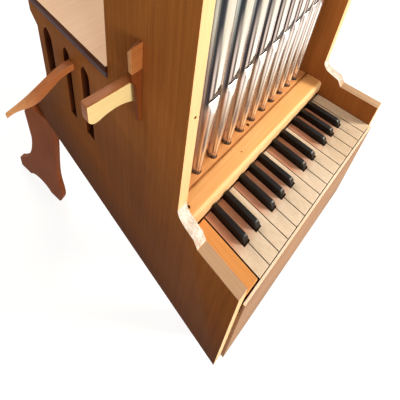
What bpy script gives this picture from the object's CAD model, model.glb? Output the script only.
# %% [markdown]
# # A small gothic positive organ
# The CAD model gives every board, key and pipe its place. This lesson dresses
# it: softened arrises on the wood, rolled metal pipes with pressed lips, black
# sharps with rounded noses, and then the finishes, the light and the camera.

# %% Load the frame
import math

import bmesh
import bpy
from mathutils import Matrix, Vector


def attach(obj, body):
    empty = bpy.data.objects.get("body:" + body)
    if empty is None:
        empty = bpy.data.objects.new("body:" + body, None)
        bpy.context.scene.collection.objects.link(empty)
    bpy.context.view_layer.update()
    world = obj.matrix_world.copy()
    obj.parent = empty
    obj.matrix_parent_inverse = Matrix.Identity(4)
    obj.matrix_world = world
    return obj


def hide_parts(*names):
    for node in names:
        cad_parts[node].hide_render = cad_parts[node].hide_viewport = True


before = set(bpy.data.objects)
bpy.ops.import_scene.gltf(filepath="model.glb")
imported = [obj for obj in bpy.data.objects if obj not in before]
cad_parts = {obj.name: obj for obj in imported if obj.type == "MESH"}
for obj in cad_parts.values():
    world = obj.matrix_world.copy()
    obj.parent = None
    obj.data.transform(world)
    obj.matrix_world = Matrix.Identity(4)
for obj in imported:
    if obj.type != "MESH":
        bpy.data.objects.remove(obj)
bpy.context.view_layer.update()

# %% [markdown]
# ## Units and setting out
# Blender counts in metres and a workshop in millimetres, so every size here is
# written in millimetres and turned to metres by one factor. Depths count from
# the case front and heights from the key tops, as an organ maker sets out, and
# one function turns such a place to a point of the scene.

# %% Units
MM = 0.001
KEY_TOP = 650.0
CASE_FRONT = -371.0
INNER_WIDTH = 391.5
SIDE_THICKNESS = 18.0
INNER = INNER_WIDTH / 2
OUTER = INNER + SIDE_THICKNESS


def at(x, depth, height):
    """A point across the case, behind its front and above the key tops."""
    return Vector((x, CASE_FRONT + depth, KEY_TOP + height)) * MM


print("middle of the keyboard's front edge", at(0.0, 0.0, 0.0))

# %% [markdown]
# ## Colours and nodes
# A colour picked by eye is an sRGB hex value. The shader works in linear light,
# so one function turns each hex value to linear before it is used. One more
# adds a node with its settings, values and links, which keeps a material
# readable as a short list of nodes.

# %% Colour and node helpers


def linear(hex_colour):
    """An sRGB hex value as linear red, green, blue and alpha."""
    channels = [int(hex_colour[i:i + 2], 16) / 255 for i in (1, 3, 5)]
    turned = [
        c / 12.92 if c <= 0.04045 else ((c + 0.055) / 1.055) ** 2.4
        for c in channels
    ]
    return (*turned, 1.0)


def add(tree, kind, inputs=None, **settings):
    """One node with its settings, its input values and its links."""
    made = tree.nodes.new(kind)
    for name, value in settings.items():
        setattr(made, name, value)
    for name, value in (inputs or {}).items():
        if isinstance(value, bpy.types.NodeSocket):
            tree.links.new(value, made.inputs[name])
        else:
            made.inputs[name].default_value = value
    return made


def new_material(name):
    """An empty node material and its tree."""
    material = bpy.data.materials.new(name)
    material.use_nodes = True
    material.node_tree.nodes.clear()
    return material, material.node_tree


# A colour mix keeps its factor, its two colours and its result at these places.
MIX_FACTOR, MIX_A, MIX_B, MIX_RESULT = 0, 6, 7, 2
WHITE = (1.0, 1.0, 1.0, 1.0)
print("case brown in linear light", [round(c, 3) for c in linear("#8a5a33")])

# %% [markdown]
# ## The grain of planed wood
# On a planed board the eye sees long streaks along the grain, a finer set of
# dark pores between them, and a slow drift of tone from side to side. An image
# of wood would show seams on boards this long, so three noises make the grain.
# Two are stretched along the board, at widths taken from real growth rings in
# millimetres, and the third is wide and gives the drift.

# %% Growth rings, pores and drift
PORES_PER_RING = 5.0
DRIFT_WIDTH = 1000.0 / 7
PATTERN_STEP = (1.0, 0.7, 1.3)


def grain(tree, place, along, growth, offset):
    """How pale the grain is at a place, and its pores on their own.

    growth is the width of a ring and the length of a streak in millimetres.
    offset moves the pattern, so that one wood doesn't repeat another.
    """
    ring, run = growth
    stretched = add(
        tree, "ShaderNodeMapping",
        {
            "Vector": place,
            "Scale": [1 / ((run if axis == along else ring) * MM) for axis in "XYZ"],
            "Location": [offset * step for step in PATTERN_STEP],
        },
    ).outputs["Vector"]
    rings = add(
        tree, "ShaderNodeTexNoise",
        {"Vector": stretched, "Scale": 1.0, "Detail": 3.0, "Distortion": 0.4},
    ).outputs["Fac"]
    pores = add(
        tree, "ShaderNodeTexNoise",
        {"Vector": stretched, "Scale": PORES_PER_RING, "Detail": 2.0},
    ).outputs["Fac"]
    drift = add(
        tree, "ShaderNodeTexNoise",
        {"Vector": place, "Scale": 1 / (DRIFT_WIDTH * MM), "Detail": 1.0},
    ).outputs["Fac"]
    total = add(tree, "ShaderNodeMath", {0: rings, 1: pores}, operation="ADD").outputs[0]
    total = add(tree, "ShaderNodeMath", {0: total, 1: drift}, operation="ADD").outputs[0]
    return total, pores


print("tone drifts over", round(DRIFT_WIDTH), "mm")

# %% [markdown]
# ## Wear and stain
# Hands rub a board pale at one end, and smoke and floor wax stain it at
# another. A tint that comes in between two places on an axis shows that. It is
# tied to the wood itself, so it stays put when the board is seen from another
# side.

# %% A tint that comes in along an axis


def tinted(tree, place, tone, fade):
    """The tone times a tint, which comes in between two places on an axis."""
    axis, start, end, tint = fade
    where = add(tree, "ShaderNodeSeparateXYZ", {"Vector": place}).outputs[axis]
    reached = add(
        tree, "ShaderNodeMapRange",
        {"Value": where, "From Min": start * MM, "From Max": end * MM},
    ).outputs["Result"]
    return add(
        tree, "ShaderNodeMix", {MIX_FACTOR: reached, MIX_A: tone, MIX_B: linear(tint)},
        data_type="RGBA", blend_type="MULTIPLY",
    ).outputs[MIX_RESULT]


print("tints multiply, so white would leave the wood as it is")

# %% [markdown]
# ## Varnish over the grain
# Clear satin varnish gives a board a low, wide shine with the pores just felt
# in it. The sum of the three noises picks a tone between a pale and a dark
# brown, the pores also make a shallow relief, and a thin coat lies over all.

# %% A material for planed wood
# Three noises from 0 to 1 add up to this on average.
MIDDLE_OF_SUM = 1.5
PORE_DEPTH = 0.2
PORE_RELIEF = 0.12
COAT_ROUGHNESS = 0.3


def planed_wood(
    name, pale, dark, along, growth, roughness,
    offset=0.0, contrast=0.45, coat=0.08, shine=0.2, fade=None,
):
    """Varnished board with its grain along an axis and its tones from dark to pale."""
    material, tree = new_material(name)
    place = add(tree, "ShaderNodeTexCoord").outputs["Object"]
    total, pores = grain(tree, place, along, growth, offset)
    paleness = add(
        tree, "ShaderNodeMapRange",
        {
            "Value": total,
            "From Min": MIDDLE_OF_SUM - contrast, "From Max": MIDDLE_OF_SUM + contrast,
        },
    ).outputs["Result"]
    tone = add(
        tree, "ShaderNodeMix",
        {MIX_FACTOR: paleness, MIX_A: linear(dark), MIX_B: linear(pale)},
        data_type="RGBA",
    ).outputs[MIX_RESULT]
    if fade:
        tone = tinted(tree, place, tone, fade)
    relief = add(
        tree, "ShaderNodeBump",
        {"Height": pores, "Strength": PORE_RELIEF, "Distance": PORE_DEPTH * MM},
    ).outputs["Normal"]
    shader = add(
        tree, "ShaderNodeBsdfPrincipled",
        {
            "Base Color": tone, "Roughness": roughness, "Normal": relief,
            "Specular IOR Level": shine, "Coat Weight": coat, "Coat Roughness": COAT_ROUGHNESS,
        },
    )
    add(tree, "ShaderNodeOutputMaterial", {"Surface": shader.outputs["BSDF"]})
    return material


print("pores are", PORE_DEPTH, "mm deep")

# %% [markdown]
# ## Browned larch
# The sides of the case are wide larch boards that varnish and years have
# browned, most of all towards the foot, where a tint comes in. The cross
# boards lie the other way. In the lancets and on the wedges the wood took more
# stain. A coat makes dark wood look milky in a white room, so the dark faces
# are matt. The tip of the bass lever is rubbed pale by hands, so there the tint
# comes in behind the tip.

# %% The woods of the case
# Width of a growth ring and length of a streak, here and in the woods below.
WIDE_LARCH = (5.0, 260.0)
LARCH = (4.0, 160.0)
MATT = {"coat": 0.0, "shine": 0.02}
FOOT_STAIN_FROM = 900.0
FOOT_STAIN_TO = 360.0
RUBBED_TIP = -330.0
UNRUBBED_FROM = -285.0
case_side = planed_wood(
    "varnished_larch_upright", "#c17b40", "#925a2e", "Z", WIDE_LARCH, 0.5,
    contrast=0.6, coat=0.0, shine=0.01, fade=("Z", FOOT_STAIN_FROM, FOOT_STAIN_TO, "#745840"),
)
case_across = planed_wood(
    "varnished_larch_across", "#c07a44", "#955628", "X", LARCH, 0.5, offset=3.1,
)
dark_stain = planed_wood(
    "dark_stained_larch", "#8a4a24", "#6b3518", "Z", LARCH, 0.55, offset=8.1, **MATT,
)
shaded_jamb = planed_wood(
    "smoke_darkened_jamb", "#5e2f19", "#3c1c0f", "Z", LARCH, 0.7, offset=1.7, **MATT,
)
lever_wood = planed_wood(
    "larch_lever_with_rubbed_tip", "#e8b07a", "#cc9059", "X", LARCH, 0.5, offset=3.3,
    fade=("X", RUBBED_TIP, UNRUBBED_FROM, "#d4b09a"),
)
print("browned larch on", [m.name for m in (case_side, case_across, dark_stain, lever_wood)])

# %% [markdown]
# ## Pale edges and worn places
# Where a saw or plane cut the boards last, the wood is pale: the front edges of
# the sides, the fronts of the handles and the top of the key slip. Hands and
# sleeves have worn the step of the cheeks grey and brown in short patches, so
# its noise is hardly stretched.

# %% The woods of the edges
CLOSE_GRAIN = (3.0, 120.0)
WORN_PATCHES = (12.0, 26.0)
cut_edge = planed_wood(
    "pale_cut_edge", "#edc795", "#dfb27c", "Z", CLOSE_GRAIN, 0.5, offset=4.4,
)
worn_edge = planed_wood(
    "worn_cheek_edge", "#d2cfca", "#a68468", "Y", WORN_PATCHES, 0.5, offset=2.9, contrast=0.25,
)
worn_top = planed_wood(
    "worn_cheek_top", "#b6977a", "#9c7b5e", "Y", CLOSE_GRAIN, 0.5, offset=3.7,
)
slip_top_wood = planed_wood(
    "pale_slip_top", "#f0e2d0", "#e2ceb2", "X", CLOSE_GRAIN, 0.5, offset=4.9,
)
lever_front = planed_wood(
    "pale_lever_front", "#fff0b6", "#fbdf9c", "X", CLOSE_GRAIN, 0.5, offset=4.1,
)
print("edges in", [m.name for m in (cut_edge, worn_edge, worn_top, slip_top_wood, lever_front)])

# %% [markdown]
# ## Pine round the keyboard
# The rail over the keys, the board of the wind chest and the block at the bass
# end are clear pine, which varnish turns to honey, a little glossier than the
# case. Round the pipes' feet and behind them the chest is browner. The front
# panel and the slip are a duller tan board with finer rings.

# %% The woods round the keyboard
PINE = (4.0, 200.0)
TAN_GRAIN = (3.0, 160.0)
CHEST_STAIN_FROM = CASE_FRONT + 120.0
CHEST_STAIN_TO = CASE_FRONT + 150.0
pale_across = planed_wood(
    "varnished_pine_across", "#f3bd7e", "#e0a260", "X", PINE, 0.42, offset=7.3,
)
chest_wood = planed_wood(
    "varnished_pine_chest", "#ecae72", "#cf9054", "X", PINE, 0.45, offset=7.9,
    fade=("Y", CHEST_STAIN_FROM, CHEST_STAIN_TO, "#e6c4ac"),
)
pale_along = planed_wood(
    "varnished_pine_block", "#e0a262", "#cc8a48", "Y", PINE, 0.42, offset=5.0,
)
tan_across = planed_wood(
    "tan_front_board", "#a1764f", "#7f5b3c", "X", TAN_GRAIN, 0.5, offset=6.0,
    coat=0.0, shine=0.08,
)
print("round the keys", [m.name for m in (pale_across, chest_wood, pale_along, tan_across)])

# %% [markdown]
# ## Birch lid, beech stand and boxwood keys
# The lid is pale birch with dark edges, and the stand is beech, stained red
# brown. The naturals are boxwood, close grained and oiled, so their pattern is
# short and fine. Beside the sharps their tails are a little redder, where
# fingers seldom rub, and their flanks are dark.

# %% The woods of the lid, the stand and the keys
BOXWOOD = (1.2, 8.0)
KEY_STOCK = (2.0, 60.0)
TAIL_FROM = CASE_FRONT + 26.0
TAIL_TO = CASE_FRONT + 46.0
lid_wood = planed_wood(
    "pale_birch_lid", "#f6d8bb", "#e4c1a0", "X", CLOSE_GRAIN, 0.5, offset=2.0,
    coat=0.0, shine=0.1,
)
lid_edge = planed_wood(
    "dark_lid_edge", "#6a3a22", "#4c2717", "Y", CLOSE_GRAIN, 0.5, offset=2.5, **MATT,
)
stand_wood = planed_wood(
    "varnished_beech_stand", "#9a5531", "#743d20", "Z", CLOSE_GRAIN, 0.5, offset=9.0, **MATT,
)
boxwood = planed_wood(
    "boxwood_naturals", "#e4d8c8", "#ceb99d", "Y", BOXWOOD, 0.45, offset=1.0, contrast=0.3,
)
boxwood_tails = planed_wood(
    "boxwood_beside_sharps", "#e4d8c8", "#ceb99d", "Y", BOXWOOD, 0.45, offset=1.0,
    contrast=0.3, fade=("Y", TAIL_FROM, TAIL_TO, "#e6b6a8"),
)
key_side_wood = planed_wood(
    "dark_key_sides", "#4f2f1b", "#3a2012", "Y", KEY_STOCK, 0.7, offset=6.6,
)
print("woods", [m.name for m in bpy.data.materials])

# %% [markdown]
# ## Black sharps
# The sharps are blackened hardwood, rubbed to a polish. The eye sees black with
# a trace of brown and a narrow bright line on each rounded edge. No grain shows
# through, so one shader does it, with less shine than lacquer would have.

# %% Blackened wood


def blackened_wood():
    """Polished black sharps, with a trace of brown where the light rakes."""
    material, tree = new_material("polished_black_sharps")
    shader = add(
        tree, "ShaderNodeBsdfPrincipled",
        {"Base Color": linear("#0e0907"), "Roughness": 0.36, "Specular IOR Level": 0.3},
    )
    add(tree, "ShaderNodeOutputMaterial", {"Surface": shader.outputs["BSDF"]})
    return material


black_wood = blackened_wood()
print("sharps in", black_wood.name)

# %% [markdown]
# ## Tones round a pipe
# Old pipes are a tin and lead alloy, and tarnish lies on them in long streaks:
# pale where they are handled and wiped, dark between. Each pipe shows the same
# run of tones from side to side, browner low down and on the foot. A colour
# ramp whose position is the share of a turn round the pipe paints that on the
# metal itself, so the streaks stay put from every side. The shares start at the
# treble side and go over the back and the bass side to the front at three
# quarters.

# %% Tarnish in three ramps
HIGH_TONES = (
    (0.00, "#8b8580"), (0.08, "#d9d2c6"), (0.15, "#54545a"), (0.24, "#e3ddcf"),
    (0.33, "#8d8a88"), (0.40, "#cfccc4"), (0.50, "#f6faf6"), (0.562, "#e2e8e4"),
    (0.584, "#98a09e"), (0.602, "#3f4549"), (0.622, "#2e2f35"), (0.646, "#45464b"),
    (0.662, "#bdb6ac"), (0.674, "#dad3c0"), (0.722, "#e6dfcd"), (0.738, "#d8d1c6"),
    (0.752, "#e6dfcd"), (0.784, "#e6dfcd"), (0.800, "#8d8583"), (0.835, "#6d6768"),
    (0.88, "#d8d0c4"),
)
LOW_TONES = (
    (0.00, "#857a74"), (0.10, "#d3c3b4"), (0.18, "#5c5452"), (0.28, "#dccdbf"),
    (0.40, "#a79b94"), (0.50, "#d2cbc6"), (0.560, "#b9b1ae"), (0.580, "#5b5559"),
    (0.602, "#2f2a2e"), (0.620, "#38302f"), (0.632, "#d4c2b8"), (0.648, "#e6d4ca"),
    (0.658, "#4f403c"), (0.672, "#6b5a54"), (0.684, "#fbf3e6"), (0.742, "#fffaf2"),
    (0.756, "#9c8f88"), (0.772, "#f1e4d8"), (0.792, "#fff6ea"), (0.85, "#6a5a54"),
    (0.91, "#cdbbae"),
)
FOOT_TONES = (
    (0.00, "#c9b8ac"), (0.12, "#faeee2"), (0.22, "#b5a193"), (0.34, "#f6eade"),
    (0.50, "#f6eae0"), (0.55, "#e4d6cc"), (0.582, "#a3938a"), (0.604, "#ab9b90"),
    (0.622, "#e8dad0"), (0.645, "#fcf4ee"), (0.660, "#b09c90"), (0.678, "#cdbcb0"),
    (0.694, "#fffaf4"), (0.735, "#fffcf8"), (0.750, "#cab9ad"), (0.772, "#a8968b"),
    (0.79, "#eadfd5"), (0.82, "#fdf5ed"), (0.86, "#b8a69a"),
)


def tone_round(tree, turn_share, tones):
    """The tarnish at a share of the turn, from one set of tones."""
    ramp = add(tree, "ShaderNodeValToRGB", {"Fac": turn_share})
    stops = ramp.color_ramp.elements
    while len(stops) < len(tones):
        stops.new(0.5)
    for stop, (share, tone) in zip(stops, tones):
        stop.position = share
        stop.color = linear(tone)
    return ramp.outputs["Color"]


print("stops in the ramps", len(HIGH_TONES), len(LOW_TONES), len(FOOT_TONES))

# %% [markdown]
# ## Burnished pipe metal
# The sheet is planed along its length and burnished: a soft mirror with faint
# strokes along the pipe. The pipes carry their own map, with the share of the
# turn across and metres above the mouth upwards. A noise on that map gives the
# strokes, drawn coarser than real ones so that they show. They make the tarnish
# waver and the shine vary, which is what tells the eye metal from paint.

# %% A material for the rolled sheet
STROKES_ROUND = 60.0
STROKE_LENGTH = 1000.0 / 3
WAVER = 0.012
HIGH_FROM, HIGH_TO = 50.0, 130.0
FOOT_FROM, FOOT_TO = -20.0, 0.0


def burnished_pipe_metal():
    """Tin and lead, planed along the pipe: a soft mirror with tarnish streaks."""
    material, tree = new_material("burnished_tin_lead")
    own = add(tree, "ShaderNodeUVMap", uv_map="round_and_up").outputs["UV"]
    parts = add(tree, "ShaderNodeSeparateXYZ", {"Vector": own}).outputs
    strokes = add(
        tree, "ShaderNodeMapping",
        {"Vector": own, "Scale": (STROKES_ROUND, 1 / (STROKE_LENGTH * MM), 1.0)},
    ).outputs["Vector"]
    planing = add(
        tree, "ShaderNodeTexNoise", {"Vector": strokes, "Scale": 1.0, "Detail": 2.0},
    ).outputs["Fac"]
    sway = add(
        tree, "ShaderNodeMapRange",
        {"Value": planing, "From Min": 0.2, "From Max": 0.8, "To Min": -WAVER, "To Max": WAVER},
    ).outputs["Result"]
    turn_share = add(
        tree, "ShaderNodeMath", {0: parts["X"], 1: sway}, operation="ADD",
    ).outputs[0]
    high = tone_round(tree, turn_share, HIGH_TONES)
    low = tone_round(tree, turn_share, LOW_TONES)
    foot = tone_round(tree, turn_share, FOOT_TONES)
    is_high = add(
        tree, "ShaderNodeMapRange",
        {"Value": parts["Y"], "From Min": HIGH_FROM * MM, "From Max": HIGH_TO * MM},
    ).outputs["Result"]
    body = add(
        tree, "ShaderNodeMix", {MIX_FACTOR: is_high, MIX_A: low, MIX_B: high},
        data_type="RGBA",
    ).outputs[MIX_RESULT]
    is_body = add(
        tree, "ShaderNodeMapRange",
        {"Value": parts["Y"], "From Min": FOOT_FROM * MM, "From Max": FOOT_TO * MM},
    ).outputs["Result"]
    tone = add(
        tree, "ShaderNodeMix", {MIX_FACTOR: is_body, MIX_A: foot, MIX_B: body},
        data_type="RGBA",
    ).outputs[MIX_RESULT]
    rough = add(
        tree, "ShaderNodeMapRange",
        {"Value": planing, "From Min": 0.3, "From Max": 0.7, "To Min": 0.18, "To Max": 0.28},
    ).outputs["Result"]
    shader = add(
        tree, "ShaderNodeBsdfPrincipled",
        {"Base Color": tone, "Metallic": 0.85, "Roughness": rough},
    )
    add(tree, "ShaderNodeOutputMaterial", {"Surface": shader.outputs["BSDF"]})
    return material


pipe_metal = burnished_pipe_metal()
print("pipes in", pipe_metal.name)

# %% [markdown]
# ## Metal of the lips
# Pressing smooths the sheet, so the lips are the same alloy without strokes or
# streaks. The lower lip leans up to the light and shines. The upper one leans
# to the floor and looks dark, and its tarnish is darker too.

# %% Two materials for pressed metal


def pressed_metal(name, tone, roughness):
    """The same alloy where it is pressed to a lip, with no streaks."""
    material, tree = new_material(name)
    shader = add(
        tree, "ShaderNodeBsdfPrincipled",
        {"Base Color": linear(tone), "Metallic": 1.0, "Roughness": roughness},
    )
    add(tree, "ShaderNodeOutputMaterial", {"Surface": shader.outputs["BSDF"]})
    return material


bright_lip = pressed_metal("burnished_lower_lip", "#fafaf6", 0.3)
dark_lip = pressed_metal("shaded_upper_lip", "#3c3d42", 0.35)
print("lips in", bright_lip.name, "and", dark_lip.name)

# %% [markdown]
# ## Leather under the lid
# A strip of dyed sheepskin seals the lid. It is matt, a nearly black red, with
# a fine pebble that only softens its shine. A noise as relief is enough for a
# strip this narrow. Its cells are two millimetres wide, about twice the real
# pebble, because a finer one would not show.

# %% Dark sheepskin
PEBBLE = 2.0
PEBBLE_DEPTH = 0.2


def seal_leather():
    """Dark dyed sheepskin: matt, with a fine pebble."""
    material, tree = new_material("dark_sheepskin")
    place = add(tree, "ShaderNodeTexCoord").outputs["Object"]
    pebble = add(
        tree, "ShaderNodeTexNoise",
        {"Vector": place, "Scale": 1 / (PEBBLE * MM), "Detail": 2.0},
    ).outputs["Fac"]
    relief = add(
        tree, "ShaderNodeBump",
        {"Height": pebble, "Strength": 0.3, "Distance": PEBBLE_DEPTH * MM},
    ).outputs["Normal"]
    shader = add(
        tree, "ShaderNodeBsdfPrincipled",
        {"Base Color": linear("#4d2f33"), "Roughness": 0.7, "Normal": relief},
    )
    add(tree, "ShaderNodeOutputMaterial", {"Surface": shader.outputs["BSDF"]})
    return material


leather = seal_leather()
print("seal in", leather.name)

# %% [markdown]
# ## Finishes on the CAD pieces
# Every CAD piece gets the finish of the real one. The grain of a board runs
# with its length, so the sides stand upright and the cross pieces lie across.
# Pieces that are dressed later get one too, and so nothing is left grey.

# %% Give each node its finish
FINISH = {
    "left_side_board": case_side, "right_side_board": case_side,
    "case_back": case_side, "rear_panel": case_across, "floor_board": case_across,
    "front_panel": pale_across, "case_roof": case_across,
    "key_bed": case_across, "key_hinge_rail": case_across,
    "front_crossboard": case_across, "rear_crossboard": case_across,
    "left_wedge": case_side, "right_wedge": case_side,
    "front_rail": pale_across, "wind_chest": chest_wood,
    "key_slip": pale_across, "left_key_block": pale_along,
    "rear_lid": lid_wood, "lid_seal": leather,
    "stand_rail": stand_wood, "rear_left_leg": stand_wood, "rear_right_leg": stand_wood,
    "front_trestle": stand_wood, "centre_stretcher": stand_wood,
    "front_pipes": bright_lip, "middle_pipes": bright_lip,
}


def finish_for(node):
    """The finish of a node, with the keys told apart by their names."""
    if node.startswith("natural"):
        return boxwood
    if node.startswith("sharp"):
        return black_wood
    return FINISH[node]


for name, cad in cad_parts.items():
    cad.data.materials.clear()
    cad.data.materials.append(finish_for(name))
print("finished", len(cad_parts), "pieces")

# %% [markdown]
# ## Copies to work on
# A maker breaks every sharp arris with a stroke of the plane, and that narrow
# facet is what catches the light. The CAD mesh is loose triangles, so its copy
# is merged and its flat triangles are joined before a bevel can run along an
# edge. A bevel in the mesh is chosen over a modifier, because each facet can
# then get a finish of its own.

# %% Copy a board and break its edges
MERGE_WITHIN = 0.001
FLAT_BELOW = math.radians(0.5)
ARRIS_ABOVE = math.radians(35)


def joined_copy(node):
    """The shape of a CAD node with its flat triangles joined."""
    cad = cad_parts[node]
    shape = bmesh.new()
    shape.from_mesh(cad.data)
    shape.transform(cad.matrix_world)
    bmesh.ops.remove_doubles(shape, verts=shape.verts, dist=MERGE_WITHIN * MM)
    bmesh.ops.dissolve_limit(
        shape, angle_limit=FLAT_BELOW, verts=shape.verts, edges=shape.edges,
    )
    return shape


def break_edges(shape, width, segments, chosen=None):
    """A bevel on every sharp edge, or on the chosen ones."""
    sharp = [
        edge for edge in shape.edges
        if len(edge.link_faces) == 2 and edge.calc_face_angle() > ARRIS_ABOVE
        and (chosen is None or chosen(edge))
    ]
    bmesh.ops.bevel(
        shape, geom=sharp, offset=width * MM, offset_type="OFFSET", segments=segments,
        profile=0.5, affect="EDGES", clamp_overlap=True, material=-1,
    )


trial = joined_copy("rear_lid")
print("the lid has", len(trial.faces), "faces once joined")
trial.free()

# %% [markdown]
# ## From shape to piece
# A finished shape becomes an object that stays at the origin, with its place in
# its mesh, so that patterns in the finish don't slide. It rides on the body of
# the CAD node whose place it takes. Flat faces stay flat and bevels look round,
# because only edges above a small angle are marked sharp.

# %% Place a shape
SMOOTH_BELOW = math.radians(25)


def place_piece(shape, name, body, materials):
    """The shape as a finished object that rides on a CAD body."""
    mesh = bpy.data.meshes.new(name)
    shape.to_mesh(mesh)
    shape.free()
    for material in materials:
        mesh.materials.append(material)
    mesh.polygons.foreach_set("use_smooth", [True] * len(mesh.polygons))
    mesh.set_sharp_from_angle(angle=SMOOTH_BELOW)
    piece = bpy.data.objects.new(name, mesh)
    bpy.context.scene.collection.objects.link(piece)
    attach(piece, body)
    return piece


def all_first(normal, centre):
    """One finish all over."""
    return 0


def stand_in(shape, node, materials, choose=all_first, body="organ"):
    """The shape in a node's place, each face in the finish that choose picks."""
    for face in shape.faces:
        face.material_index = choose(face.normal, face.calc_center_median() / MM)
    piece = place_piece(shape, node + "_dressed", body, materials)
    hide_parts(node)
    print(piece.name, len(piece.data.polygons), "faces")
    return piece


print("edges stay sharp above", round(math.degrees(SMOOTH_BELOW)), "degrees")

# %% [markdown]
# ## The boards
# The faces that look to the player are cut edges, paler than the varnished
# sides. The side boards have most to tell: pale front edges, a step and a cheek
# worn by hands, and dark jambs in the lancets. A face's own normal and place
# say which it is, so no face has to be picked by number.

# %% Which face gets which finish
# How far a face's normal leans that way before it counts as looking there.
TO_FRONT = 0.6
UPWARDS = 0.6
EDGE_TO_FRONT = 0.5
SIDE_TO_SIDE = 0.75
LANCETS_FROM, LANCETS_TO = CASE_FRONT + 280.0, CASE_FRONT + 455.0
LANCETS_TOP = KEY_TOP + 175.0
STEP_FROM, STEP_TO = CASE_FRONT + 58.0, CASE_FRONT + 96.5
STEP_LOW, STEP_HIGH = KEY_TOP + 46.0, KEY_TOP + 82.0
SIDE_FINISHES = [case_side, cut_edge, shaded_jamb, worn_edge, worn_top]


def front_is_second(normal, centre):
    """Second finish on the faces that look to the player."""
    return 1 if normal.y < -TO_FRONT else 0


def top_is_second(normal, centre):
    """Second finish on the faces that look up."""
    return 1 if normal.z > UPWARDS else 0


def side_finish(normal, centre):
    """Varnish on the face, pale front edges, dark jambs, worn step and cheek."""
    if abs(normal.x) > SIDE_TO_SIDE:
        return 0
    if LANCETS_FROM < centre.y < LANCETS_TO and centre.z < LANCETS_TOP:
        return 2
    if STEP_FROM < centre.y < STEP_TO and STEP_LOW < centre.z < STEP_HIGH:
        return 3
    if normal.z > UPWARDS and centre.y < STEP_FROM:
        return 4
    return 1 if normal.y < -EDGE_TO_FRONT and centre.y < STEP_TO else 0


print("finishes of a side board", [m.name for m in SIDE_FINISHES])

# %% [markdown]
# ## Broken edges on the boards
# The arris is broken widest where hands go: two millimetres on the handles, one
# and a half on the legs and about one on the sides, the lid and the panel. Two
# segments to a bevel are enough for an edge this narrow to look round.

# %% Dress the boards
EDGE_SEGMENTS = 2


def dressed_board(node, width, materials, choose=all_first):
    """A board with its edges broken to a width in millimetres."""
    shape = joined_copy(node)
    break_edges(shape, width, EDGE_SEGMENTS)
    return stand_in(shape, node, materials, choose)


HANDLE_EDGE, LEG_EDGE, SIDE_EDGE, LID_EDGE, PANEL_EDGE = 2.0, 1.5, 1.2, 1.0, 0.8
for board in ("left_side_board", "right_side_board"):
    dressed_board(board, SIDE_EDGE, SIDE_FINISHES, side_finish)
handles = [case_across, lever_front]
dressed_board("front_crossboard", HANDLE_EDGE, handles, front_is_second)
for board in ("rear_left_leg", "rear_right_leg"):
    dressed_board(board, LEG_EDGE, [stand_wood])
dressed_board("rear_lid", LID_EDGE, [lid_edge, lid_wood], top_is_second)
dressed_board("front_panel", PANEL_EDGE, [tan_across])

# %% [markdown]
# ## The rear levers
# The board behind ends in two levers, and their lower edge swells halfway out
# to give a grip. The CAD outline has enough points there, so those points sink
# by half a sine wave, and the upper edge stays straight.

# %% Swell the rear levers
LEVER_TOP = KEY_TOP + 153.0
SWELL_FROM, SWELL_TO = 30.0, 110.0
SWELL = 3.2
# Points below this slanting line belong to the lower edge.
EDGE_DEPTH, EDGE_TAPER = 10.0, 0.262


def swell(reach):
    """How far the lower edge sinks at a distance from the side board."""
    return SWELL * math.sin(math.pi * (reach - SWELL_FROM) / (SWELL_TO - SWELL_FROM))


levers = joined_copy("rear_crossboard")
for v in levers.verts:
    reach = abs(v.co.x) / MM - OUTER
    drop = LEVER_TOP - v.co.z / MM
    if SWELL_FROM < reach < SWELL_TO and drop > EDGE_DEPTH + EDGE_TAPER * reach:
        v.co.z -= swell(reach) * MM
break_edges(levers, HANDLE_EDGE, segments=3)
stand_in(levers, "rear_crossboard", [lever_wood])

# %% [markdown]
# ## The wedges
# Two wedges are driven in before the handles. Their heads slope down to the
# outside and the back, show bright end grain there, and stand over a darker
# stem. One cut with bisect_plane parts head and stem, so that each gets its
# own finish, and the back corner of the head is then lowered.

# %% Slope the wedges' heads
WEDGE_HEAD = KEY_TOP + 284.0
HEAD_SLOPE = 10.0
CORNER = 1.0
END_GRAIN = 0.8


def wedge_finish(normal, centre):
    """Bright head with a pale outer end, darker below."""
    if centre.z < WEDGE_HEAD:
        return 1
    return 2 if abs(normal.x) > END_GRAIN else 0


for board in ("left_wedge", "right_wedge"):
    shape = joined_copy(board)
    bmesh.ops.bisect_plane(
        shape, geom=shape.verts[:] + shape.edges[:] + shape.faces[:],
        plane_co=(0, 0, WEDGE_HEAD * MM), plane_no=(0, 0, 1),
    )
    outer = max(abs(v.co.x) for v in shape.verts) - CORNER * MM
    behind = max(v.co.y for v in shape.verts) - CORNER * MM
    top = max(v.co.z for v in shape.verts) - CORNER * MM
    for v in shape.verts:
        if v.co.z > top and abs(v.co.x) > outer and v.co.y > behind:
            v.co.z -= HEAD_SLOPE * MM
    break_edges(shape, PANEL_EDGE, EDGE_SEGMENTS)
    stand_in(shape, board, [case_across, dark_stain, pale_along], wedge_finish)

# %% [markdown]
# ## The rail over the keys
# The rail's front lower edge is worn up where fingers pass below it, except at
# its bass end, and its upper back edge is planed to a wide chamfer against the
# wind chest. The edge is moved first and bevelled after, so that the facets
# follow it.

# %% Shape the front rail
RAIL_BACK = CASE_FRONT + 119.0
RAIL_TOP = KEY_TOP + 32.5
RAIL_FOOT = KEY_TOP + 3.0
RAIL_WORN_FOOT = KEY_TOP + 9.0
RAIL_FRONT_HALF = CASE_FRONT + 90.0
BASS_END = 1.0
CHAMFER = 3.5


def is_rail_back(edge):
    """The upper back edge of the rail."""
    return all(v.co.z > RAIL_TOP * MM and v.co.y > RAIL_BACK * MM for v in edge.verts)


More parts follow.
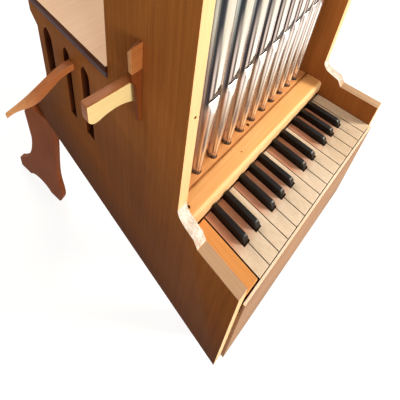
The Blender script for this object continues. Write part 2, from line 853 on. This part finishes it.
rail = joined_copy("front_rail")
worn_from = min(v.co.x for v in rail.verts) + BASS_END * MM
for v in rail.verts:
    if v.co.z < RAIL_FOOT * MM and v.co.y < RAIL_FRONT_HALF * MM and v.co.x > worn_from:
        v.co.z = RAIL_WORN_FOOT * MM
break_edges(rail, CHAMFER, 1, is_rail_back)
break_edges(rail, PANEL_EDGE, EDGE_SEGMENTS)
stand_in(rail, "front_rail", [pale_across, cut_edge], front_is_second)

# %% [markdown]
# ## Slip and block beside the keys
# On the real organ the key slip in front and the block at the bass end stand
# almost as close to the keys as the keys to each other. In the CAD they stand
# off a little more, so one face of each is moved by less than a millimetre,
# which leaves the keys free.

# %% Set slip and block close to the keys
SAME_PLACE = 0.2
SLIP_BACK = CASE_FRONT - 1.5
SLIP_NEARER, SLIP_EDGE = 0.6, 0.5
BLOCK_NEARER, BLOCK_EDGE = 0.7, 1.0
slip = joined_copy("key_slip")
for v in slip.verts:
    if abs(v.co.y - SLIP_BACK * MM) < SAME_PLACE * MM:
        v.co.y += SLIP_NEARER * MM
break_edges(slip, SLIP_EDGE, EDGE_SEGMENTS)
stand_in(slip, "key_slip", [tan_across, slip_top_wood], top_is_second)

block = joined_copy("left_key_block")
block_side = max(v.co.x for v in block.verts)
for v in block.verts:
    if block_side - v.co.x < SAME_PLACE * MM:
        v.co.x += BLOCK_NEARER * MM
break_edges(block, BLOCK_EDGE, EDGE_SEGMENTS)
stand_in(block, "left_key_block", [pale_along])

# %% [markdown]
# ## Lancet sills
# The first lancet opens only above the lever, with solid wood below. A plain
# block in the thickness of the side board, in the same varnish, closes it up to
# that sill. A cube moved corner by corner to its place is the shortest way.

# %% Two lancet sills
SILL_FROM, SILL_TO = 416.2, 447.8
SILL_FOOT, SILL_TOP = -7.8, 45.0


def add_block(name, low, high, material):
    """A plain block between two corners."""
    shape = bmesh.new()
    bmesh.ops.create_cube(shape, size=1.0)
    size = high - low
    for v in shape.verts:
        v.co = Vector(low[i] + (v.co[i] + 0.5) * size[i] for i in range(3))
    return place_piece(shape, name, "organ", [material])


for name, near, far in (
    ("left_lancet_sill", -OUTER, -INNER),
    ("right_lancet_sill", INNER, OUTER),
):
    low, high = at(near, SILL_FROM, SILL_FOOT), at(far, SILL_TO, SILL_TOP)
    add_block(name, low, high, case_side)
    print(name, "rises to", SILL_TOP, "mm above the key tops")

# %% [markdown]
# ## Pegs
# Small round plugs close the holes of nails and screws, and one mark on the
# rail is a knot. Each is a short cylinder whose end stands a hair above the
# wood, enough to be seen and too little to be felt.

# %% Four pegs
PEG_LENGTH = 2.0
PEG_SIDES = 20
PEGS = (
    ("peg_wind_chest", at(3.2, 125.8, 30.4), 2.4, "Z", shaded_jamb),
    ("peg_rail_left", at(-179.0, 103.0, 32.4), 2.4, "Z", shaded_jamb),
    ("peg_rail_knot", at(-49.0, 104.0, 32.3), 1.2, "Z", dark_stain),
    ("screw_tower_edge", at(-203.0, 96.6, 262.0), 1.8, "Y", shaded_jamb),
)


def add_peg(name, middle, radius, axis, material):
    """A short round plug along an axis, its end just above the wood."""
    shape = bmesh.new()
    bmesh.ops.create_cone(
        shape, cap_ends=True, segments=PEG_SIDES,
        radius1=radius * MM, radius2=radius * MM, depth=PEG_LENGTH * MM,
    )
    if axis == "Y":
        upright = Matrix.Rotation(math.radians(90), 3, "X")
        bmesh.ops.rotate(shape, verts=shape.verts, matrix=upright)
    bmesh.ops.translate(shape, verts=shape.verts, vec=middle)
    return place_piece(shape, name, "organ", [material])


for name, middle, radius, axis, wood in PEGS:
    add_peg(name, middle, radius, axis, wood)
print("pegs", len(PEGS))

# %% [markdown]
# ## Keys
# The naturals lose less than half a millimetre at their edges, which draws a
# fine light line beside each dark gap. The sharps get a well rounded nose first
# and then softer edges, as if rubbed by fingers. Two bevels one after the other
# do that, because one bevel has one width. Each key rides on its own body.

# %% Naturals and sharps
NO_SHARP_ABOVE = (3, 7, 10, 14, 15)
NOSE_HEIGHT = KEY_TOP + 11.0
NOSE_DEPTH = CASE_FRONT + 36.0
FLANK = 0.8
NATURAL_EDGE, SHARP_EDGE, NOSE = 0.4, 1.2, 5.0


def flank_is_second(normal, centre):
    """Second finish on the flanks of a key."""
    return 1 if abs(normal.x) > FLANK else 0


def is_nose(edge):
    """The upper front edge of a sharp."""
    return all(v.co.z > NOSE_HEIGHT * MM and v.co.y < NOSE_DEPTH * MM for v in edge.verts)


for node in list(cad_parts):
    if node.startswith("natural"):
        key = joined_copy(node)
        break_edges(key, NATURAL_EDGE, EDGE_SEGMENTS)
        plays = boxwood if int(node[-2:]) in NO_SHARP_ABOVE else boxwood_tails
        stand_in(key, node, [plays, key_side_wood], flank_is_second, body=node)
    if node.startswith("sharp"):
        key = joined_copy(node)
        break_edges(key, NOSE, 5, is_nose)
        break_edges(key, SHARP_EDGE, segments=3)
        stand_in(key, node, [black_wood], body=node)

# %% [markdown]
# ## The scale of the pipes
# A maker sets a rank of pipes by one ratio: each pipe is narrower and shorter
# than its neighbour, and their places close up in step. The mouths climb in one
# straight line towards the treble. The same few values that set out the solids
# give every pipe here. Only the toes are a little fuller, because the dark rings
# round them are thin on the real chest.

# %% The measures of the pipes
FRONT_COUNT = 11
RATIO = 0.949
BASS_MARGIN = 26.0
TREBLE_MARGIN = 30.5
SPAN = INNER_WIDTH - BASS_MARGIN - TREBLE_MARGIN
PITCH = SPAN * (1 - RATIO) / (1 - RATIO ** (FRONT_COUNT - 1))
# Width of a pipe as a share of the pitch, in front and behind.
FRONT_WIDTH, MIDDLE_WIDTH = 0.80, 0.63
FRONT_DEPTH = 132.0
ROW_STEP = 0.57 * PITCH
TOE_HEIGHT = 21.0
TOE_RADIUS = 7.1
FOOT_LENGTH = 182.0
MOUTH_CLIMB = 2.8
ROOF_HEIGHT = 600.0
HEADROOM = 77.0
BODY_LENGTH = ROOF_HEIGHT - HEADROOM - TOE_HEIGHT - FOOT_LENGTH


def front_pipe(index):
    """Place across, radius, mouth height and top of a pipe in the front row."""
    place = BASS_MARGIN - INNER + PITCH * (1 - RATIO ** index) / (1 - RATIO)
    radius = FRONT_WIDTH * PITCH * RATIO ** index / 2
    mouth = TOE_HEIGHT + FOOT_LENGTH + MOUTH_CLIMB * index
    return place, radius, mouth, mouth + BODY_LENGTH * RATIO ** index


def middle_pipe(index):
    """The same for a pipe of the row behind, between two of the front row."""
    place = (front_pipe(index)[0] + front_pipe(index + 1)[0]) / 2
    radius = MIDDLE_WIDTH * PITCH * RATIO ** index / 2
    mouth = TOE_HEIGHT + FOOT_LENGTH + MOUTH_CLIMB * index
    return place, radius, mouth, mouth + BODY_LENGTH * RATIO ** (index + 1)


print("front row radii", [round(front_pipe(i)[1], 1) for i in range(FRONT_COUNT)])

# %% [markdown]
# ## Where the lips end
# A maker takes every measure of the mouth from the pipe's own width. Here too
# the lips' width and reach are shares of the radius, and the cut up, which is
# the height of the mouth, is a quarter of its width.

# %% The proportions of a mouth
LIP_WIDTH = 0.7
CUT_UP = 0.25
LOWER_REACH = 1.45
UPPER_REACH = 1.9
WIDEST = math.asin(LIP_WIDTH)


def lip_ends(radius, mouth):
    """Heights of the lower lip's point, the mouth's top and the upper lip's point."""
    mouth_top = mouth + CUT_UP * LIP_WIDTH * 2 * radius
    return mouth - LOWER_REACH * radius, mouth_top, mouth_top + UPPER_REACH * radius


bass_radius, bass_mouth = front_pipe(0)[1:3]
print("lips of the bass pipe end at", [round(h) for h in lip_ends(bass_radius, bass_mouth)])

# %% [markdown]
# ## Rolling a sheet
# A metal pipe is a sheet rolled on a mandrel: a cone for the foot and a tube
# for the body. Spin does the same. It takes a profile of points from toe to top
# and turns it round the pipe's axis. The profile has few points on the foot and
# the body and many where the lips will be pressed.

# %% Roll a sheet
ROUND = 48
FULL_TURN = 2 * math.pi
FOOT_STEPS, LIP_STEPS, BODY_STEPS = 6, 9, 4


def steps_between(low, high, count):
    """Heights from low to high in equal steps, with both ends."""
    return [low + (high - low) * step / count for step in range(count + 1)]


def sheet_radius(height, radius, mouth):
    """Radius of the foot's cone or the body's tube at a height."""
    share = min(1.0, (height - TOE_HEIGHT) / (mouth - TOE_HEIGHT))
    return TOE_RADIUS + (radius - TOE_RADIUS) * share


def roll_sheet(shape, place, depth, radius, mouth, top):
    """The round sheet of one pipe; gives back its faces."""
    lower_point, mouth_top, upper_point = lip_ends(radius, mouth)
    heights = steps_between(TOE_HEIGHT, lower_point, FOOT_STEPS)[:-1]
    heights += steps_between(lower_point, mouth, LIP_STEPS)
    heights += steps_between(mouth_top, upper_point, LIP_STEPS)
    heights += steps_between(upper_point, top, BODY_STEPS)[1:]
    before = set(shape.faces)
    points = [
        shape.verts.new(at(place + sheet_radius(height, radius, mouth), depth, height))
        for height in heights
    ]
    lines = [shape.edges.new(pair) for pair in zip(points, points[1:])]
    bmesh.ops.spin(
        shape, geom=points + lines, cent=at(place, depth, 0.0), axis=(0, 0, 1),
        dvec=(0, 0, 0), angle=FULL_TURN, steps=ROUND, use_merge=True,
    )
    return [face for face in shape.faces if face not in before]


trial = bmesh.new()
print("a rolled sheet has", len(roll_sheet(trial, 0.0, FRONT_DEPTH, *front_pipe(0)[1:])), "faces")
trial.free()

# %% [markdown]
# ## A map on the sheet
# The metal's streaks need to know how far round the pipe and how far above the
# mouth they are. Both go into a UV map, as if the sheet were laid out flat. The
# map is drawn while the sheet is still round, because then a point's angle is
# its true place. Each corner's angle is taken from its face's middle, so that
# the last face before the seam doesn't run backwards.

# %% Map a sheet


def turn_of(point, axis):
    """Angle of a point round a pipe's axis, from the treble side over the back."""
    return math.atan2(point.y - axis.y, point.x - axis.x) % FULL_TURN


def map_sheet(faces, layer, axis, mouth, shift):
    """Share of the turn across, and metres above the mouth upwards."""
    for face in faces:
        middle = turn_of(face.calc_center_median(), axis)
        for loop in face.loops:
            point = loop.vert.co
            aside = (turn_of(point, axis) - middle + math.pi) % FULL_TURN - math.pi
            share = (middle + aside) / FULL_TURN
            loop[layer].uv = (share + shift, point.z - (KEY_TOP + mouth) * MM)


behind = turn_of(Vector((0.0, 1.0, 0.0)), Vector((0.0, 0.0, 0.0))) / FULL_TURN
print("the back of a pipe lies at", behind, "of the turn")

# %% [markdown]
# ## Pressing the lips
# Above and below the mouth the sheet is pressed flat into pointed lips, the
# lower one bright and the upper one in shade, and the strip between them is cut
# out for the wind. Here the points in front of a chord are moved back to it:
# the chord is widest at the mouth and shrinks to nothing at each lip's point.
# The open sheet gets its thickness last, from a modifier.

# %% Press the lips and mark the mouth
FRONT_TURN = 0.75 * FULL_TURN


def lip_half_angle(height, radius, mouth):
    """Half the angle that a lip takes of the sheet at a height."""
    lower_point, mouth_top, upper_point = lip_ends(radius, mouth)
    if lower_point < height <= mouth:
        return WIDEST * math.sqrt((height - lower_point) / (mouth - lower_point))
    if mouth < height < mouth_top:
        return WIDEST
    if mouth_top <= height < upper_point:
        return WIDEST * (upper_point - height) / (upper_point - mouth_top)
    return 0.0


def mark_lips(faces, axis, radius, mouth):
    """Finishes for the two lips; gives back the faces of the mouth."""
    mouth_top = lip_ends(radius, mouth)[1]
    opening = []
    for face in faces:
        middle = face.calc_center_median()
        height = middle.z / MM - KEY_TOP
        from_front = abs(turn_of(middle, axis) - FRONT_TURN)
        if from_front < lip_half_angle(height, radius, mouth):
            if mouth < height < mouth_top:
                opening.append(face)
            face.material_index = 1 if height < mouth else 2
    return opening


def press_lips(faces, axis, radius, mouth):
    """Points in front of the lip's chord go back to it."""
    for v in {v for face in faces for v in face.verts}:
        height = v.co.z / MM - KEY_TOP
        lip = lip_half_angle(height, radius, mouth)
        chord = axis.y - sheet_radius(height, radius, mouth) * math.cos(lip) * MM
        if lip and v.co.y < chord:
            v.co.y = chord


widest = lip_half_angle(bass_mouth, bass_radius, bass_mouth)
print("at the mouth a lip takes", round(2 * math.degrees(widest)), "degrees of the pipe")

# %% [markdown]
# ## Two rows of pipes
# The front row has eleven pipes and the middle row ten, each standing behind
# the gap of two in front. A row is one piece, as it is one node in the CAD. The
# map of each pipe is shifted by a hair, so that the streaks turn a little from
# pipe to pipe, as on pipes set by hand. The mouth of one pipe behind is pressed
# but not cut, and the front row hides most of it.

# %% Build the rows
STREAK_SHIFT = 0.003
SHEET_THICKNESS = 1.2
UNCUT_BEHIND = 8


def pipe_row(name, node, pipes, depth, uncut=None):
    """One row of rolled pipes with pressed lips, as a single piece."""
    shape = bmesh.new()
    layer = shape.loops.layers.uv.new("round_and_up")
    openings = []
    for index, (place, radius, mouth, top) in enumerate(pipes):
        axis = at(place, depth, 0.0)
        faces = roll_sheet(shape, place, depth, radius, mouth, top)
        map_sheet(faces, layer, axis, mouth, index * STREAK_SHIFT)
        opening = mark_lips(faces, axis, radius, mouth)
        press_lips(faces, axis, radius, mouth)
        if index != uncut:
            openings += opening
    bmesh.ops.delete(shape, geom=openings, context="FACES")
    bmesh.ops.recalc_face_normals(shape, faces=shape.faces)
    row = place_piece(shape, name, "organ", [pipe_metal, bright_lip, dark_lip])
    wall = row.modifiers.new("sheet", "SOLIDIFY")
    wall.thickness = SHEET_THICKNESS * MM
    wall.offset = -1.0
    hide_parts(node)
    print(name, len(pipes), "pipes", len(row.data.polygons), "faces")
    return row


front_row = [front_pipe(i) for i in range(FRONT_COUNT)]
middle_row = [middle_pipe(i) for i in range(FRONT_COUNT - 1)]
pipe_row("front_pipes_rolled", "front_pipes", front_row, FRONT_DEPTH)
pipe_row(
    "middle_pipes_rolled", "middle_pipes", middle_row, FRONT_DEPTH + ROW_STEP, UNCUT_BEHIND,
)

# %% [markdown]
# ## The floor
# A plain pale floor catches the shadow and grounds the stand. To the wood and
# the other surfaces it is a matt grey, so that it doesn't throw white light up
# at them. To the camera and to reflections it glows white and still takes the
# shadow, because a part of what they see stays a lit, matt surface.

# %% Floor
FLOOR_REACH = 6.0
FLOOR_GLOW = 0.86
floor_mesh = bpy.data.meshes.new("studio_floor")
shape = bmesh.new()
bmesh.ops.create_grid(shape, x_segments=1, y_segments=1, size=FLOOR_REACH)
shape.to_mesh(floor_mesh)
shape.free()
floor = bpy.data.objects.new("studio_floor", floor_mesh)
bpy.context.scene.collection.objects.link(floor)
floor_paint, floor_tree = new_material("pale_studio_floor")
rays = add(floor_tree, "ShaderNodeLightPath").outputs
floor_seen = add(
    floor_tree, "ShaderNodeMath", {0: rays["Is Camera Ray"], 1: rays["Is Glossy Ray"]},
    operation="MAXIMUM",
).outputs[0]
floor_matt = add(floor_tree, "ShaderNodeBsdfDiffuse", {"Color": linear("#bcbcba")})
floor_shade = add(floor_tree, "ShaderNodeBsdfDiffuse", {"Color": linear("#808080")})
floor_glow = add(floor_tree, "ShaderNodeEmission", {"Color": WHITE, "Strength": FLOOR_GLOW})
floor_white = add(
    floor_tree, "ShaderNodeAddShader",
    {0: floor_shade.outputs["BSDF"], 1: floor_glow.outputs["Emission"]},
)
floor_mix = add(
    floor_tree, "ShaderNodeMixShader",
    {0: floor_seen, 1: floor_matt.outputs["BSDF"], 2: floor_white.outputs["Shader"]},
)
add(floor_tree, "ShaderNodeOutputMaterial", {"Surface": floor_mix.outputs["Shader"]})
floor_mesh.materials.append(floor_paint)
print("floor", 2 * FLOOR_REACH, "m wide")

# %% [markdown]
# ## The room
# The world is white to the camera, to reflections and through glass, but only a
# soft warm grey to the surfaces. So metal shows a white room while the wood
# isn't washed out, and the lamps still model the shapes.

# %% World
SOFT_FILL = (0.31, 0.27, 0.225, 1.0)
world = bpy.data.worlds.new("white_room")
bpy.context.scene.world = world
world.use_nodes = True
sky = world.node_tree
sky.nodes.clear()
rays = add(sky, "ShaderNodeLightPath").outputs
seen = add(
    sky, "ShaderNodeMath", {0: rays["Is Camera Ray"], 1: rays["Is Glossy Ray"]},
    operation="MAXIMUM",
).outputs[0]
seen = add(
    sky, "ShaderNodeMath", {0: seen, 1: rays["Is Transmission Ray"]}, operation="MAXIMUM",
).outputs[0]
level = add(
    sky, "ShaderNodeMix", {MIX_FACTOR: seen, MIX_A: SOFT_FILL, MIX_B: WHITE}, data_type="RGBA",
).outputs[MIX_RESULT]
backdrop = add(sky, "ShaderNodeBackground", {"Color": level, "Strength": 1.0})
add(sky, "ShaderNodeOutputWorld", {"Surface": backdrop.outputs["Background"]})
print("fill light", SOFT_FILL[:3])

# %% [markdown]
# ## The lamps
# Most light comes from a window high on the player's right, which draws the
# bright side of pipes and keys. A wide lamp in front lifts the shadows and one
# above the back lights the lid. Square area lamps give soft edged shadows, as
# windows do. Places are in metres, the light in watts.

# %% Lamps
LAMPS = (
    ("window_right", (1.9, -2.1, 2.3), (0, -0.3, 0.7), 0.7, 118.0, "#fff3e2"),
    ("skylight_back", (0.25, 1.3, 2.6), (0, 0.2, 0.75), 1.0, 30.0, "#fff6ea"),
    ("window_front", (-0.8, -3.0, 1.6), (0, -0.2, 0.7), 1.2, 60.0, "#fff4e4"),
)


def soft_lamp(name, place, aim, size, watts, tint):
    """A square area lamp that looks at a point."""
    data = bpy.data.lights.new(name, "AREA")
    data.shape = "SQUARE"
    data.size = size
    data.energy = watts
    data.color = linear(tint)[:3]
    lamp = bpy.data.objects.new(name, data)
    lamp.location = place
    lamp.rotation_euler = (Vector(aim) - Vector(place)).to_track_quat("-Z", "Y").to_euler()
    bpy.context.scene.collection.objects.link(lamp)
    return lamp


for name, place, aim, size, watts, tint in LAMPS:
    soft_lamp(name, place, aim, size, watts, tint)
    print(name, watts, "W")

# %% [markdown]
# ## The camera
# The eye stands close, above the bass end of the keyboard. The three rows
# are the directions of the picture's right, its down and the line of sight,
# found by fitting the keys and board edges. The point straight ahead of the eye
# lies outside the picture, because the picture is a crop, and the lens shift
# brings that crop back.

# %% Camera
EYE_MM = (-406.705, -409.350, 1233.628)
TO_RIGHT = Vector((0.80234099, -0.59468423, -0.05098638))
TO_DOWN = Vector((-0.32845878, -0.36859349, -0.86962847))
SIGHT = Vector((0.49836108, 0.71448549, -0.49106692))
SENSOR = 36.0
PICTURE = 400
FOCAL_PIXELS = 336.06
AHEAD_ACROSS, AHEAD_DOWN = 100.82, -37.00
NEAREST = 0.01

lens = bpy.data.cameras.new("camera")
lens.sensor_width = SENSOR
lens.lens = FOCAL_PIXELS / PICTURE * SENSOR
lens.shift_x = (PICTURE / 2 - AHEAD_ACROSS) / PICTURE
lens.shift_y = (AHEAD_DOWN - PICTURE / 2) / PICTURE
lens.clip_start = NEAREST
camera = bpy.data.objects.new("camera", lens)
turn = Matrix((TO_RIGHT, -TO_DOWN, -SIGHT)).transposed()
camera.matrix_world = Matrix.Translation(Vector(EYE_MM) * MM) @ turn.to_4x4()
bpy.context.scene.collection.objects.link(camera)
bpy.context.scene.camera = camera
bpy.context.scene.view_settings.view_transform = "Standard"
print("lens", round(lens.lens, 2), "mm")
